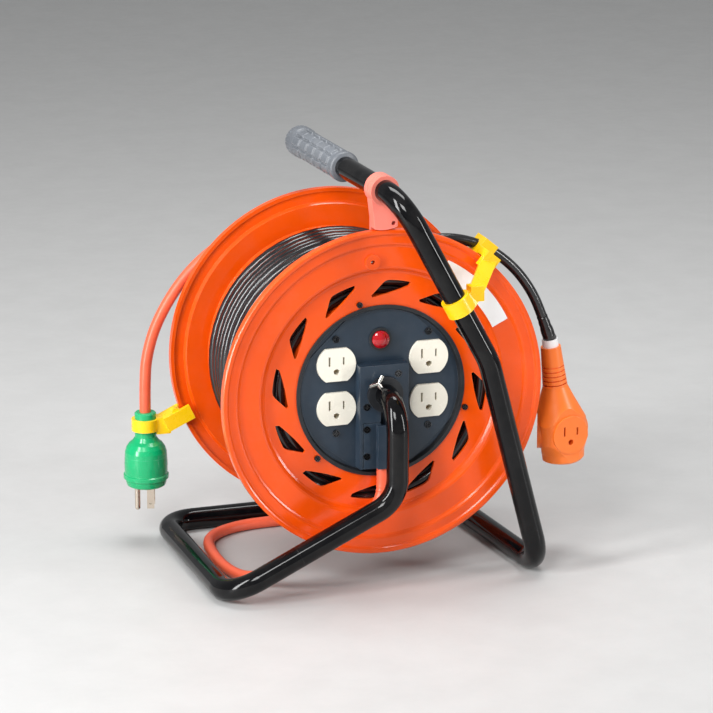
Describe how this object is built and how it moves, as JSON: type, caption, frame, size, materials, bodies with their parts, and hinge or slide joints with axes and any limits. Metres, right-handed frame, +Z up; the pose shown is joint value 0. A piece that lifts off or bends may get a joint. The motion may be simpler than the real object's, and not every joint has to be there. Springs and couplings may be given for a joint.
{
  "type": "extension cord reel",
  "caption": "Hand-wound extension cord reel: twin-flange drum with a socket panel in its hub, on a bent tube stand with handle, supply cord and tap.",
  "frame": {"origin": "bottom centre of the stand and drum, on the floor", "axes": "+X to the user's right as they face the socket panel, +Y from the panel to the back along the drum axle, +Z up"},
  "size_m": [0.3818, 0.239, 0.3638],
  "materials": {
    "black_tube": "gloss black enamel on steel tube",
    "steel": "bare steel",
    "zinc": "bright zinc plate",
    "nickel": "nickel plate",
    "dark_steel": "blackened screws",
    "black_plastic": "moulded, satin",
    "nylon": "natural nylon",
    "carbon": "pressed carbon",
    "brass": "brass strip, satin",
    "drum_orange": "glossy moulded plastic",
    "panel_plastic": "satin slate plastic",
    "socket_cream": "moulded ivory plastic",
    "button_red": "translucent red",
    "label_white": "blank white",
    "grip_rubber": "textured rubber",
    "cable_black": "satin cable jacket",
    "cord_orange": "satin cord jacket",
    "plug_green": "moulded plastic",
    "clip_yellow": "moulded plastic",
    "stopper_pink": "moulded plastic",
    "tap_orange": "soft moulded vinyl"
  },
  "bodies": {
    "stand": {"axle_end_cap": "black_plastic", "axle_spacer": "nylon", "breaker_bezel": "black_plastic", "breaker_body": "black_plastic", "brush_holder": "nylon", "cable_clip": "clip_yellow", "cable_tail": "cable_black", "carbon_brushes": "carbon", "cord_bush": "black_plastic", "cotter_pin": "zinc", "feed_arm_base": "panel_plastic", "feed_arm_cover": "panel_plastic", "feed_arm_screws": "dark_steel", "front_washer": "black_plastic", "handle_grip": "grip_rubber", "hub_bezel": "black_plastic", "plug_blades": "nickel", "plug_body": "plug_green", "plug_cap": "plug_green", "plug_clip": "clip_yellow", "plug_earth_pin": "nickel", "power_cord": "cord_orange", "rear_washer": "zinc", "socket_contacts": "brass", "socket_left": "socket_cream", "socket_panel": "panel_plastic", "socket_right": "socket_cream", "socket_screws": "dark_steel", "stand_joint_sleeve": "steel", "stand_tube_base": "black_tube", "stand_tube_front": "black_tube", "tap_body": "tap_orange", "tap_collar": "label_white"},
    "drum": {"slip_rings": "brass", "ring_carrier": "nylon", "hub_tube": "steel", "drum_web": "drum_orange", "axle_bush_front": "nylon", "axle_bush_rear": "nylon", "front_flange": "drum_orange", "rear_flange": "drum_orange", "drum_barrel": "drum_orange", "cable_grommet": "black_plastic", "flange_screws_front": "dark_steel", "flange_screws_rear": "dark_steel", "rear_cover": "black_plastic", "blank_label": "label_white", "cable_winding": "cable_black"},
    "reset_button": {"reset_button": "button_red"},
    "stopper": {"drum_stopper": "stopper_pink"}
  },
  "joints": [
    {"name": "drum_turn", "type": "hinge", "parent": "stand", "child": "drum", "pos_m": [0.0065, 0, 0.1665], "axis": [0, 1, 0], "continuous": true},
    {"name": "button_press", "type": "slide", "parent": "stand", "child": "reset_button", "axis": [0, 1, 0], "range_m": [0, 0.0025], "stiffness_N_per_m": 800, "springref_m": -0.001},
    {"name": "stopper_swing", "type": "hinge", "parent": "stand", "child": "stopper", "pos_m": [0.00545, -0.0685, 0.34399], "axis": [-0.1006, 0.9943, 0.0346], "range_deg": [0, 100]}
  ]
}
